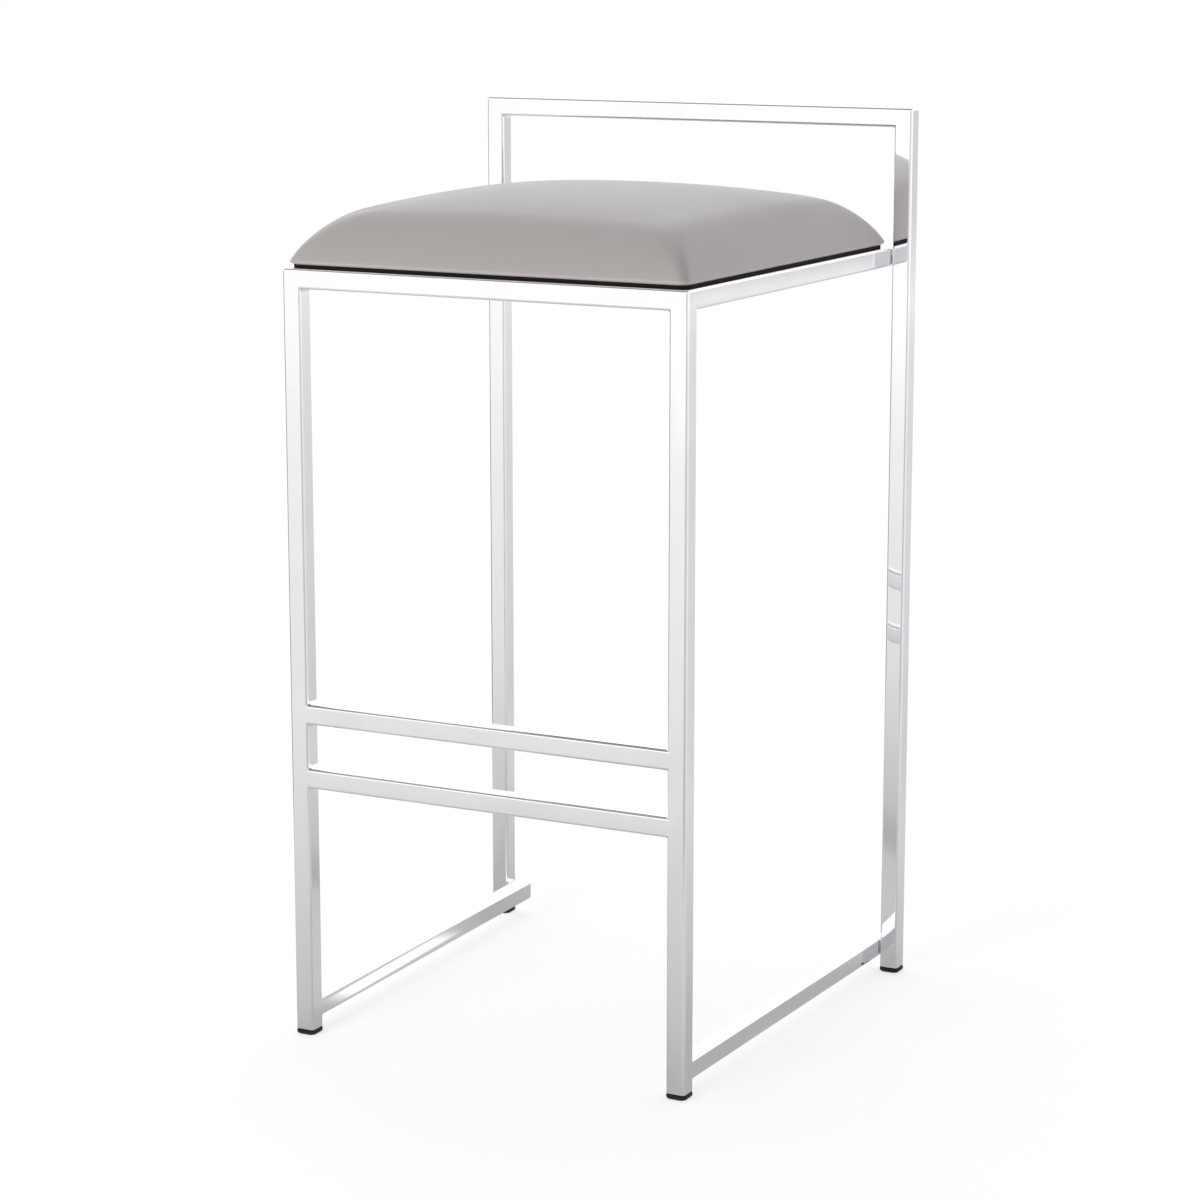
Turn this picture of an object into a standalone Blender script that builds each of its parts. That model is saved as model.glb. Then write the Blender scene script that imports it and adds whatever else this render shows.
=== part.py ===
# A bar-height counter stool: a welded frame of square tube with two foot rails and a low back
# rail, and a padded seat screwed down on it. Metres, +Z up. The front faces -Y and left is -X.
# The origin is on the floor under the middle of the frame.

import math

import bmesh
import bpy
from mathutils import Vector

# Overall sizes of the frame
SEAT_FRAME_TOP = 0.700  # top faces of the seat rails above the floor
BACK_TOP = 0.828  # top face of the back rail
FRONT_WIDTH = 0.394  # over the outer faces of the front legs
DEPTH = 0.432  # front faces of the legs to rear faces of the posts
SIDE_TOE_OUT = 0.008  # how far each side rail spreads from the front leg to the rear post
UPPER_FOOT_TOP = 0.310
LOWER_FOOT_TOP = 0.251
FLOOR_RAIL_TOP = 0.033

# Square tube and its welded end caps
TUBE = 0.018
TUBE_WALL = 0.0015
TUBE_CORNER = 0.002
SHARPEST_CORNER = 0.0002
CORNER_STEPS = 3
END_CAP = 0.0015
CLEARANCE = 0.0003  # between pieces that touch

# Push-in glides
GLIDE_HEIGHT = 0.005
GLIDE_LIP = 0.0006
GLIDE_EDGE = 0.0015
GLIDE_PLUG = 0.014
GLIDE_PLUG_TAPER = 0.0008

# Corner plates, which the seat is screwed to
PLATE = 0.003
PLATE_LEG = 0.055
PLATE_CUT = 0.006
PLATE_HOLE_IN = 0.020  # hole centre from the inner faces of both rails

# Seat screws and what they pass through
SCREW_RADIUS = 0.003
SCREW_HEAD_RADIUS = 0.0055
SCREW_HEAD = 0.0033
SCREW_HEAD_EDGE = 0.0012
SOCKET_RADIUS = 0.002
SOCKET_DEPTH = 0.0019
WASHER = 0.0012
WASHER_RADIUS = 0.0065
SPACER_RADIUS = 0.010
TEE_FLANGE = 0.0012
TEE_FLANGE_RADIUS = 0.0085
TEE_BARREL = 0.009
TEE_BARREL_RADIUS = 0.0042
ROUND_STEPS = 16

# Padded seat
SEAT_INSET = 0.003  # cushion edge inside the outline of the seat frame
SEAT_GAP = 0.0025  # shadow gap between the frame and the dust cover
DUST_COVER = 0.0005
DUST_COVER_IN = 0.009
VINYL = 0.001
VINYL_HEM = 0.020  # vinyl turned in under the board
VINYL_EDGE = 0.0008
BOARD = 0.012
SEAT_RISE = 0.040  # height of the rounded sides
SEAT_LEAN = 0.040  # how far in the sides reach the top
SEAT_FULLNESS = 1.4  # 1 is a straight slope, 2 a quarter round
SEAT_CROWN = 0.021  # rise of the middle above the sides
SEAT_CORNER = 0.012
SEAT_CORNER_SPREAD = 0.3  # growth of the corner radius towards the middle
SEAT_CORNER_LIMIT = 0.95  # largest corner radius, as a share of the half width
SEAT_DRAW_IN = 0.002  # sides drawn in between the corners
SEAT_FIT = 0.0006  # board and foam edges inside the cover
SEAT_CORNER_STEPS = 4
SEAT_SIDE_STEPS = 6
SEAT_SIDE_RINGS = 6
SEAT_TOP_RINGS = (0.22, 0.46, 0.70, 0.92)  # shares of the way from the sides to the middle

# Places that follow from the sizes
FRONT = -DEPTH / 2
REAR = DEPTH / 2
LEG_X = FRONT_WIDTH / 2 - TUBE / 2
LEG_Y = FRONT + TUBE / 2
POST_Y = REAR - TUBE / 2
REAR_RAIL_Y = REAR - 1.5 * TUBE
SCREW_HOLE = SCREW_RADIUS + CLEARANCE
DUST_BOTTOM = SEAT_FRAME_TOP + SEAT_GAP
COVER_BOTTOM = DUST_BOTTOM + DUST_COVER + CLEARANCE
BOARD_BOTTOM = COVER_BOTTOM + VINYL + CLEARANCE
BOARD_TOP = BOARD_BOTTOM + BOARD
SEAT_FRONT = FRONT + SEAT_INSET
SEAT_REAR = REAR - TUBE - SEAT_INSET
SEAT_MIDDLE = (SEAT_FRONT + SEAT_REAR) / 2
SEAT_HALF_DEPTH = (SEAT_REAR - SEAT_FRONT) / 2

SHARP_EDGE = 40  # degrees

SIDES = (("left", -1), ("right", 1))
CORNERS = (
    ("front_left", -1, -1),
    ("front_right", 1, -1),
    ("rear_left", -1, 1),
    ("rear_right", 1, 1),
)


def rail_outer(y):
    """Half width over the outer faces of the side rails at depth y."""
    leg_rear = FRONT + TUBE
    return FRONT_WIDTH / 2 + SIDE_TOE_OUT * (y - leg_rear) / (REAR - leg_rear)


POST_X = rail_outer(REAR) + CLEARANCE + TUBE / 2
SEAT_HALF_WIDTH = rail_outer(SEAT_MIDDLE) - SEAT_INSET


def clear_scene():
    for old in list(bpy.data.objects):
        bpy.data.objects.remove(old, do_unlink=True)


def finish(name, colour, roughness, metallic=0.0):
    material = bpy.data.materials.new(name)
    material.use_nodes = True
    shader = material.node_tree.nodes["Principled BSDF"]
    shader.inputs["Base Color"].default_value = (*colour, 1.0)
    shader.inputs["Roughness"].default_value = roughness
    shader.inputs["Metallic"].default_value = metallic
    return material


def loft(name, material, rings, closed=False):
    """One body through rings of points: capped at both ends, or closed round like a tyre."""
    mesh = bpy.data.meshes.new(name)
    shape = bmesh.new()
    loops = [[shape.verts.new(point) for point in ring] for ring in rings]
    pairs = list(zip(loops, loops[1:]))
    if closed:
        pairs.append((loops[-1], loops[0]))
    else:
        shape.faces.new(loops[0])
        shape.faces.new(loops[-1])
    for lower, upper in pairs:
        for i in range(len(lower)):
            j = (i + 1) % len(lower)
            shape.faces.new((lower[i], lower[j], upper[j], upper[i]))
    bmesh.ops.recalc_face_normals(shape, faces=shape.faces)
    centre = sum((vert.co for vert in shape.verts), Vector()) / len(shape.verts)
    bmesh.ops.translate(shape, verts=shape.verts, vec=-centre)
    shape.to_mesh(mesh)
    shape.free()
    mesh.shade_smooth()
    mesh.set_sharp_from_angle(angle=math.radians(SHARP_EDGE))
    mesh.materials.append(material)
    piece = bpy.data.objects.new(name, mesh)
    piece.location = centre
    piece.parent = stool
    bpy.context.scene.collection.objects.link(piece)
    return piece


def rounded_square(half, corner):
    """Points of a square with round corners, about the origin."""
    corner = max(corner, SHARPEST_CORNER)
    points = []
    for quarter in range(4):
        turn = math.radians(90 * quarter)
        for step in range(CORNER_STEPS + 1):
            angle = math.radians(90 * step / CORNER_STEPS)
            u = half - corner + corner * math.cos(angle)
            v = half - corner + corner * math.sin(angle)
            x = u * math.cos(turn) - v * math.sin(turn)
            y = u * math.sin(turn) + v * math.cos(turn)
            points.append((x, y))
    return points


def circle(x, y, z, radius):
    angles = [2 * math.pi * i / ROUND_STEPS for i in range(ROUND_STEPS)]
    return [(x + radius * math.cos(a), y + radius * math.sin(a), z) for a in angles]


def turned(name, material, x, y, profile, closed=False):
    """A round piece with an upright axis, from (radius, height) points."""
    return loft(name, material, [circle(x, y, z, radius) for radius, z in profile], closed)


def tube(name, place):
    """A square tube. place(end, a, b) gives the point of section (a, b) at end 0 or 1."""
    outer = rounded_square(TUBE / 2, TUBE_CORNER)
    inner = rounded_square(TUBE / 2 - TUBE_WALL, TUBE_CORNER - TUBE_WALL)
    rings = [
        [place(0, *point) for point in outer],
        [place(1, *point) for point in outer],
        [place(1, *point) for point in inner],
        [place(0, *point) for point in inner],
    ]
    return loft(name, steel, rings, closed=True)


def end_cap(name, place):
    """A plate welded over a tube's end. place(end, a, b) is as for a tube."""
    outline = rounded_square(TUBE / 2, TUBE_CORNER)
    return loft(name, steel, [[place(end, *point) for point in outline] for end in (0, 1)])


def front_legs():
    ends = (GLIDE_HEIGHT + CLEARANCE, SEAT_FRAME_TOP - END_CAP - CLEARANCE)
    cap = (SEAT_FRAME_TOP - END_CAP, SEAT_FRAME_TOP)
    for side, s in SIDES:
        tube(f"front_{side}_leg", lambda end, a, b: (s * LEG_X + a, LEG_Y + b, ends[end]))
        end_cap(f"front_{side}_leg_cap", lambda end, a, b: (s * LEG_X + a, LEG_Y + b, cap[end]))


def rear_posts_and_back():
    # The posts and the back rail meet in mitres at the top corners.
    mitre_gap = CLEARANCE / math.sqrt(2)
    for side, s in SIDES:

        def post(end, a, b):
            top = BACK_TOP - (TUBE / 2 - a) - mitre_gap
            return (s * (POST_X + a), POST_Y + b, top if end else GLIDE_HEIGHT + CLEARANCE)

        tube(f"rear_{side}_post", post)

    def back(end, a, b):
        reach = POST_X + TUBE / 2 - (TUBE / 2 - b) - mitre_gap
        return (reach if end else -reach, POST_Y + a, BACK_TOP - TUBE / 2 + b)

    tube("back_rail", back)


def cross_rails():
    between_legs = FRONT_WIDTH / 2 - TUBE - CLEARANCE
    tops = (
        ("front_seat_rail", SEAT_FRAME_TOP),
        ("upper_foot_rail", UPPER_FOOT_TOP),
        ("lower_foot_rail", LOWER_FOOT_TOP),
    )
    for name, top in tops:

        def rail(end, a, b):
            return (between_legs if end else -between_legs, LEG_Y + a, top - TUBE / 2 + b)

        tube(name, rail)

    def rear_rail(end, a, b):
        # The ends are cut to the slant of the side rails.
        y = REAR_RAIL_Y + a
        reach = rail_outer(y) - TUBE - CLEARANCE
        return (reach if end else -reach, y, SEAT_FRAME_TOP - TUBE / 2 + b)

    tube("rear_seat_rail", rear_rail)


def side_rails():
    ends = (FRONT + TUBE + CLEARANCE, REAR - END_CAP - CLEARANCE)
    cap = (REAR - END_CAP, REAR)
    for side, s in SIDES:
        for level, top in (("seat", SEAT_FRAME_TOP), ("floor", FLOOR_RAIL_TOP)):

            def section(y, a, b):
                return (s * (rail_outer(y) - TUBE / 2 + a), y, top - TUBE / 2 + b)

            tube(f"{side}_{level}_rail", lambda end, a, b: section(ends[end], a, b))
            end_cap(f"{side}_{level}_rail_end_cap", lambda end, a, b: section(cap[end], a, b))


def glides():
    foot = TUBE / 2 + GLIDE_LIP
    plug = TUBE / 2 - TUBE_WALL - CLEARANCE
    soften = 1 - math.sqrt(0.5)
    levels = (
        (0, foot - GLIDE_EDGE),
        (GLIDE_EDGE * soften, foot - GLIDE_EDGE * soften),
        (GLIDE_EDGE, foot),
        (GLIDE_HEIGHT, foot),
        (GLIDE_HEIGHT, plug),
        (GLIDE_HEIGHT + GLIDE_PLUG, plug - GLIDE_PLUG_TAPER),
    )
    for corner, sx, sy in CORNERS:
        x = sx * (POST_X if sy > 0 else LEG_X)
        y = POST_Y if sy > 0 else LEG_Y
        rings = []
        for z, half in levels:
            square = rounded_square(half, TUBE_CORNER + half - TUBE / 2)
            rings.append([(x + a, y + b, z) for a, b in square])
        loft(f"{corner}_glide", plastic, rings)


def corner_point(sx, sy, from_side, from_cross):
    """A point in a corner of the seat frame, at distances from the rails' inner faces."""
    y = REAR - 2 * TUBE - from_cross if sy > 0 else FRONT + TUBE + from_cross
    return (sx * (rail_outer(y) - TUBE - from_side), y)


def screw_places():
    for corner, sx, sy in CORNERS:
        yield corner, *corner_point(sx, sy, PLATE_HOLE_IN, PLATE_HOLE_IN)


def cutters(name, profile):
    """Hidden round cutters at the four seat screws."""
    made = []
    for corner, x, y in screw_places():
        cutter = turned(f"{name}_{corner}", plastic, x, y, profile)
        cutter.hide_render = True
        cutter.display_type = "WIRE"
        made.append(cutter)
    return made


def cut(piece, tools):
    for tool in tools:
        modifier = piece.modifiers.new(tool.name, "BOOLEAN")
        modifier.operation = "DIFFERENCE"
        modifier.object = tool


def corner_plates():
    near = CLEARANCE
    outline = (
        (PLATE_CUT, near),
        (PLATE_LEG, near),
        (PLATE_LEG, PLATE_CUT),
        (PLATE_CUT, PLATE_LEG),
        (near, PLATE_LEG),
        (near, PLATE_CUT),
    )
    bottom = SEAT_FRAME_TOP - PLATE
    tools = cutters("plate_cutter", ((SCREW_HOLE, bottom - PLATE), (SCREW_HOLE, SEAT_FRAME_TOP + PLATE)))
    for (corner, sx, sy), tool in zip(CORNERS, tools):
        flat = [corner_point(sx, sy, *point) for point in outline]
        rings = [[(x, y, z) for x, y in flat] for z in (bottom, SEAT_FRAME_TOP)]
        cut(loft(f"{corner}_corner_plate", steel, rings), [tool])


def seat_fasteners():
    washer_top = SEAT_FRAME_TOP - PLATE - CLEARANCE
    head_top = washer_top - WASHER - CLEARANCE
    head_bottom = head_top - SCREW_HEAD
    flange_bottom = BOARD_TOP - TEE_FLANGE
    barrel_bottom = BOARD_TOP - TEE_BARREL
    screw = (
        (SOCKET_RADIUS, head_bottom + SOCKET_DEPTH),
        (SOCKET_RADIUS, head_bottom),
        (SCREW_HEAD_RADIUS - SCREW_HEAD_EDGE, head_bottom),
        (SCREW_HEAD_RADIUS, head_bottom + SCREW_HEAD_EDGE),
        (SCREW_HEAD_RADIUS, head_top),
        (SCREW_RADIUS, head_top),
        (SCREW_RADIUS, flange_bottom),
    )
    washer = (
        (SCREW_HOLE, washer_top - WASHER),
        (WASHER_RADIUS, washer_top - WASHER),
        (WASHER_RADIUS, washer_top),
        (SCREW_HOLE, washer_top),
    )
    spacer = (
        (SCREW_HOLE, SEAT_FRAME_TOP + CLEARANCE),
        (SPACER_RADIUS, SEAT_FRAME_TOP + CLEARANCE),
        (SPACER_RADIUS, BOARD_BOTTOM - CLEARANCE),
        (SCREW_HOLE, BOARD_BOTTOM - CLEARANCE),
    )
    tee_nut = (
        (SCREW_HOLE, barrel_bottom),
        (TEE_BARREL_RADIUS, barrel_bottom),
        (TEE_BARREL_RADIUS, flange_bottom),
        (TEE_FLANGE_RADIUS, flange_bottom),
        (TEE_FLANGE_RADIUS, BOARD_TOP),
        (SCREW_HOLE, BOARD_TOP),
    )
    for corner, x, y in screw_places():
        turned(f"{corner}_seat_screw", zinc, x, y, screw)
        turned(f"{corner}_washer", zinc, x, y, washer, closed=True)
        turned(f"{corner}_spacer", rubber, x, y, spacer, closed=True)
        turned(f"{corner}_tee_nut", zinc, x, y, tee_nut, closed=True)


def seat_outline(inset, shrink=0.0, draw_in=0.0):
    """(x, y) points round the seat, inset from its edge and then shrunk towards its middle.

    The sides are drawn in between the corners.
    """
    half_x = (SEAT_HALF_WIDTH - inset) * (1 - shrink)
    half_y = (SEAT_HALF_DEPTH - inset) * (1 - shrink)
    spread = SEAT_CORNER_SPREAD * (SEAT_HALF_DEPTH - half_y)
    corner = min(SEAT_CORNER + spread, SEAT_CORNER_LIMIT * min(half_x, half_y))
    points = []
    for quarter in range(4):
        across, along = (half_x, half_y) if quarter % 2 == 0 else (half_y, half_x)
        turn = math.radians(90 * quarter)
        local = []
        for step in range(1, SEAT_SIDE_STEPS):
            share = step / SEAT_SIDE_STEPS
            local.append((across - draw_in * math.sin(math.pi * share), (along - corner) * (2 * share - 1)))
        for step in range(SEAT_CORNER_STEPS + 1):
            angle = math.radians(90 * step / SEAT_CORNER_STEPS)
            local.append(
                (across - corner + corner * math.cos(angle), along - corner + corner * math.sin(angle))
            )
        for u, v in local:
            x = u * math.cos(turn) - v * math.sin(turn)
            y = SEAT_MIDDLE + u * math.sin(turn) + v * math.cos(turn)
            points.append((x * (rail_outer(y) - SEAT_INSET) / SEAT_HALF_WIDTH, y))
    return points


def seat_ring(inset, height, shrink=0.0, draw_in=0.0, crown=0.0):
    """A ring of the cushion at a height above its edge, raised by the crown towards the middle."""
    ring = []
    for x, y in seat_outline(inset, shrink, draw_in):
        u = x / (rail_outer(y) - SEAT_INSET)
        v = (y - SEAT_MIDDLE) / SEAT_HALF_DEPTH
        ring.append((x, y, COVER_BOTTOM + height + crown * (1 - u * u) * (1 - v * v)))
    return ring


def seat_profile(skin):
    """Sizes of rings from the cushion's edge to its middle, skin deep inside its surface.

    Each is (inset, height, shrink, draw-in), as for seat_ring.
    """
    curve = []
    for step in range(SEAT_SIDE_RINGS + 1):
        angle = math.radians(90 * step / SEAT_SIDE_RINGS)
        inset = SEAT_LEAN * (1 - math.cos(angle) ** (2 / SEAT_FULLNESS))
        height = SEAT_RISE * math.sin(angle) ** (2 / SEAT_FULLNESS)
        curve.append((inset, height, 0.0, SEAT_DRAW_IN * math.sin(angle)))
    for shrink in SEAT_TOP_RINGS:
        curve.append((SEAT_LEAN, SEAT_RISE, shrink, SEAT_DRAW_IN * (1 - shrink)))
    top_reach = SEAT_HALF_WIDTH - SEAT_LEAN
    profile = []
    for i, (inset, height, shrink, draw) in enumerate(curve):
        before = curve[max(i - 1, 0)]
        after = curve[min(i + 1, len(curve) - 1)]
        run = after[0] - before[0] + (after[2] - before[2]) * top_reach
        rise = after[1] - before[1]
        length = math.hypot(run, rise)
        profile.append((inset + skin * rise / length, height - skin * run / length, shrink, draw))
    return profile


def cover_inside():
    """Sizes of rings up the inner face of the seat cover, from its turned-in hem."""
    turn_in = (VINYL + VINYL_EDGE, VINYL, 0.0, 0.0)
    return [turn_in] + [sizes for sizes in seat_profile(VINYL) if sizes[1] > 2 * VINYL]


def inside_at(height):
    """(inset, draw-in) of a piece that fits inside the seat cover at a height above its edge."""
    wall = cover_inside()
    for (inset, low, _, draw), (next_inset, high, _, next_draw) in zip(wall, wall[1:]):
        if low <= height <= high:
            share = (height - low) / (high - low)
            fitted = inset + share * (next_inset - inset) + SEAT_FIT
            return fitted, draw + share * (next_draw - draw)
    return wall[-1][0], 0.0


def seat_cover():
    """Vinyl skin over the foam, turned in under the board."""
    top_down = [sizes for sizes in reversed(seat_profile(0.0)) if sizes[1] > VINYL_EDGE]
    outer = [seat_ring(*sizes, SEAT_CROWN) for sizes in top_down]
    turn_in, *walls = cover_inside()
    inner = [seat_ring(*turn_in)] + [seat_ring(*sizes, SEAT_CROWN) for sizes in walls]
    hem = [
        seat_ring(0.0, VINYL_EDGE),
        seat_ring(VINYL_EDGE, 0.0),
        seat_ring(VINYL_HEM, 0.0),
        seat_ring(VINYL_HEM, VINYL),
    ]
    loft("seat_cover", vinyl, outer + hem + inner)


def seat_foam():
    floor = BOARD_TOP + CLEARANCE - COVER_BOTTOM
    skin = VINYL + CLEARANCE
    inset, draw = inside_at(floor)
    rings = [seat_ring(inset, floor, draw_in=draw)]
    rings += [seat_ring(*sizes, SEAT_CROWN) for sizes in seat_profile(skin) if sizes[1] > floor + skin]
    loft("seat_foam", foam, rings)


def seat_board():
    heights = (BOARD_BOTTOM - COVER_BOTTOM, BOARD_TOP - COVER_BOTTOM)
    rings = []
    for height in heights:
        inset, draw = inside_at(height)
        rings.append(seat_ring(inset, height, draw_in=draw))
    board = loft("seat_board", plywood, rings)
    bore = TEE_BARREL_RADIUS + CLEARANCE
    recess = TEE_FLANGE_RADIUS + CLEARANCE
    shelf = BOARD_TOP - TEE_FLANGE - CLEARANCE
    profile = (
        (bore, BOARD_BOTTOM - BOARD),
        (bore, shelf),
        (recess, shelf),
        (recess, BOARD_TOP + BOARD),
    )
    cut(board, cutters("board_cutter", profile))


def dust_cover():
    bottom = DUST_BOTTOM - COVER_BOTTOM
    rings = [seat_ring(DUST_COVER_IN, bottom), seat_ring(DUST_COVER_IN, bottom + DUST_COVER)]
    sheet = loft("dust_cover", black_cloth, rings)
    hole = SPACER_RADIUS + CLEARANCE
    cut(sheet, cutters("dust_cutter", ((hole, DUST_BOTTOM - PLATE), (hole, BOARD_TOP))))


clear_scene()
stool = bpy.data.objects.new("counter_stool", None)
bpy.context.scene.collection.objects.link(stool)

steel = finish("polished_steel", (0.86, 0.87, 0.88), 0.06, 1.0)
zinc = finish("zinc_plated_steel", (0.62, 0.63, 0.65), 0.35, 1.0)
plastic = finish("black_plastic", (0.02, 0.02, 0.022), 0.45)
rubber = finish("black_rubber", (0.025, 0.025, 0.025), 0.8)
vinyl = finish("grey_vinyl", (0.40, 0.385, 0.375), 0.42)
foam = finish("seat_foam", (0.80, 0.76, 0.62), 0.95)
plywood = finish("plywood", (0.60, 0.45, 0.28), 0.7)
black_cloth = finish("black_cloth", (0.03, 0.03, 0.03), 0.95)

front_legs()
rear_posts_and_back()
cross_rails()
side_rails()
glides()
corner_plates()
seat_fasteners()
seat_board()
seat_foam()
seat_cover()
dust_cover()
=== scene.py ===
# Looks of a bar-height counter stool: mirror-polished square-tube frame, padded grey seat and black glides
import math

import bmesh
import bpy
import numpy as np
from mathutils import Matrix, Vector


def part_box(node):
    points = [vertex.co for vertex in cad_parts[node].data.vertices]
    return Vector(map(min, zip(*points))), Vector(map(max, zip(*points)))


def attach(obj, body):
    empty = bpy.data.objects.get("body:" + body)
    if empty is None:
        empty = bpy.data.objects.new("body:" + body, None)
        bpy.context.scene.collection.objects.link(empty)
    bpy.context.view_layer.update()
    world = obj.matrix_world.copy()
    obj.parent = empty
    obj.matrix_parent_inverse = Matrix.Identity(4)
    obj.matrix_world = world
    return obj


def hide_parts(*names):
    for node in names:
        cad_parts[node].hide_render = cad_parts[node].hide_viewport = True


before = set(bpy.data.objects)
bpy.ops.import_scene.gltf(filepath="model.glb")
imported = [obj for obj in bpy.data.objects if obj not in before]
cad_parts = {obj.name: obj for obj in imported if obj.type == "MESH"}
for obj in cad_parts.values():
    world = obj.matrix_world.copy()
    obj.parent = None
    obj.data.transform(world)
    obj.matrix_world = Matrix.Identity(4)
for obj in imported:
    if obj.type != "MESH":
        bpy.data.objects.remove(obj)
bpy.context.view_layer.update()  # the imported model: one object per node, in metres
scene = bpy.context.scene
sides = ("left", "right")
corners = [(front, side) for front in ("front", "rear") for side in sides]
print("frame loaded:", len(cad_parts), "nodes")


# Small helpers

def addObject(name, mesh):
    obj = bpy.data.objects.new(name, mesh)
    scene.collection.objects.link(obj)
    return obj


def plainMesh(name, points, edges=(), faces=()):
    mesh = bpy.data.meshes.new(name)
    mesh.from_pydata([tuple(point) for point in points], list(edges), list(faces))
    return mesh


def toMesh(name, shape):
    mesh = bpy.data.meshes.new(name)
    shape.to_mesh(mesh)
    shape.free()
    return mesh


def joinShapes(parts):  # several small shapes as one
    whole = bmesh.new()
    for part in parts:
        mesh = toMesh("part", part)
        whole.from_mesh(mesh)
        bpy.data.meshes.remove(mesh)
    return whole


def faceOut(mesh, mergeGap=0):  # closes doubles where asked, and turns the faces outwards
    shape = bmesh.new()
    shape.from_mesh(mesh)
    if mergeGap:
        bmesh.ops.remove_doubles(shape, verts=shape.verts, dist=mergeGap)
    bmesh.ops.recalc_face_normals(shape, faces=shape.faces)
    shape.to_mesh(mesh)
    shape.free()


def bake(obj):  # modifiers to a plain mesh
    depsgraph = bpy.context.evaluated_depsgraph_get()
    mesh = bpy.data.meshes.new_from_object(obj.evaluated_get(depsgraph), depsgraph=depsgraph)
    obj.modifiers.clear()
    obj.data = mesh
    return obj


def smoothAbove(mesh, degrees):  # smooth shading, with creases past an angle
    mesh.shade_smooth()
    mesh.set_sharp_from_angle(angle=math.radians(degrees))


def loftRings(rings, closed=False):  # quads between rings of points; a closed loft meets itself
    shape = bmesh.new()
    loops = [[shape.verts.new(point) for point in ring] for ring in rings]
    for low, high in zip(loops, loops[1:] + loops[:closed]):
        for i in range(len(low)):
            j = (i + 1) % len(low)
            shape.faces.new((low[i], low[j], high[j], high[i]))
    if not closed:
        shape.faces.new(loops[0][::-1])
        shape.faces.new(loops[-1])
    bmesh.ops.recalc_face_normals(shape, faces=shape.faces)
    return shape


def roundPoints(radius, z, count):
    turns = [2 * math.pi * i / count for i in range(count)]
    return [(radius * math.cos(t), radius * math.sin(t), z) for t in turns]


def standFor(obj, material, slot, *nodes):  # one finish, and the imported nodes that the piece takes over
    obj.data.materials.clear()
    obj.data.materials.append(material)
    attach(obj, "root")
    if nodes:
        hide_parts(*nodes)


# Node helpers: values are numbers, or sockets to link

def addNode(tree, kind, inputs=None, **settings):
    made = tree.nodes.new(kind)
    for key, value in settings.items():
        setattr(made, key, value)
    for key, value in (inputs or {}).items():
        if isinstance(value, bpy.types.NodeSocket):
            tree.links.new(value, made.inputs[key])
        else:
            made.inputs[key].default_value = value
    return made


def reckon(tree, operation, *values):
    return addNode(tree, "ShaderNodeMath", dict(enumerate(values)), operation=operation).outputs[0]


def vectorReckon(tree, operation, *values):
    made = addNode(tree, "ShaderNodeVectorMath", dict(enumerate(values)), operation=operation)
    return made.outputs["Value" if operation in ("LENGTH", "DOT_PRODUCT") else "Vector"]


def remap(tree, value, source=(0.0, 1.0), target=(0.0, 1.0), smooth=False):
    inputs = dict(zip(("Value", "From Min", "From Max", "To Min", "To Max"), (value, *source, *target)))
    way = "SMOOTHSTEP" if smooth else "LINEAR"
    return addNode(tree, "ShaderNodeMapRange", inputs, interpolation_type=way).outputs[0]


def objectPlace(tree):
    return addNode(tree, "ShaderNodeTexCoord").outputs["Object"]


# Shader groups that several finishes share

def shaderGroup(name, inputs, outputs):
    tree = bpy.data.node_groups.new(name, "ShaderNodeTree")
    for label, value in inputs.items():
        socket = tree.interface.new_socket(label, in_out="INPUT", socket_type="NodeSocketFloat")
        socket.default_value = value
    for label in outputs:
        tree.interface.new_socket(label, in_out="OUTPUT", socket_type="NodeSocketFloat")
    return tree, addNode(tree, "NodeGroupInput").outputs, objectPlace(tree)


def polishGroup():  # polishing lines along a tube, and patches of haze over them
    tree, given, place = shaderGroup("polishMarks", {
        "Stretch X": 1, "Stretch Y": 1, "Stretch Z": 1, "Patch Scale": 14}, ("Haze", "Lines"))
    stretch = addNode(tree, "ShaderNodeCombineXYZ", {axis: given["Stretch " + axis] for axis in "XYZ"})
    lengthwise = vectorReckon(tree, "MULTIPLY", place, stretch.outputs[0])
    lines = addNode(tree, "ShaderNodeTexNoise", {
        "Vector": lengthwise, "Scale": 2600, "Detail": 3, "Roughness": 0.6})
    patches = addNode(tree, "ShaderNodeTexNoise", {
        "Vector": place, "Scale": given["Patch Scale"], "Detail": 4, "Roughness": 0.55, "Distortion": 0.4})
    haze = remap(tree, patches.outputs["Fac"], (0.42, 0.72), smooth=True)
    addNode(tree, "NodeGroupOutput", {"Haze": haze, "Lines": lines.outputs["Fac"]})
    return tree


def grainGroup():  # pebbled skin of vinyl, rubber and moulded plastic
    tree, given, place = shaderGroup(
        "pebbleGrain", {"Pebbles": 900, "Creases": 120, "Crease Depth": 0.35}, ("Height", "Cloud"))
    warp = addNode(tree, "ShaderNodeTexNoise", {"Vector": place, "Scale": given["Creases"], "Detail": 3})
    drift = vectorReckon(tree, "MULTIPLY", warp.outputs["Color"], (0.002, 0.002, 0.002))
    cells = addNode(tree, "ShaderNodeTexVoronoi", {
        "Vector": vectorReckon(tree, "ADD", place, drift), "Scale": given["Pebbles"]}, feature="SMOOTH_F1")
    creases = reckon(tree, "MULTIPLY", warp.outputs["Fac"], given["Crease Depth"])
    height = reckon(tree, "SUBTRACT", creases, cells.outputs["Distance"])
    cloud = addNode(tree, "ShaderNodeTexNoise", {"Vector": place, "Scale": 9, "Detail": 5, "Roughness": 0.6})
    addNode(tree, "NodeGroupOutput", {"Height": height, "Cloud": cloud.outputs["Fac"]})
    return tree


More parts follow.
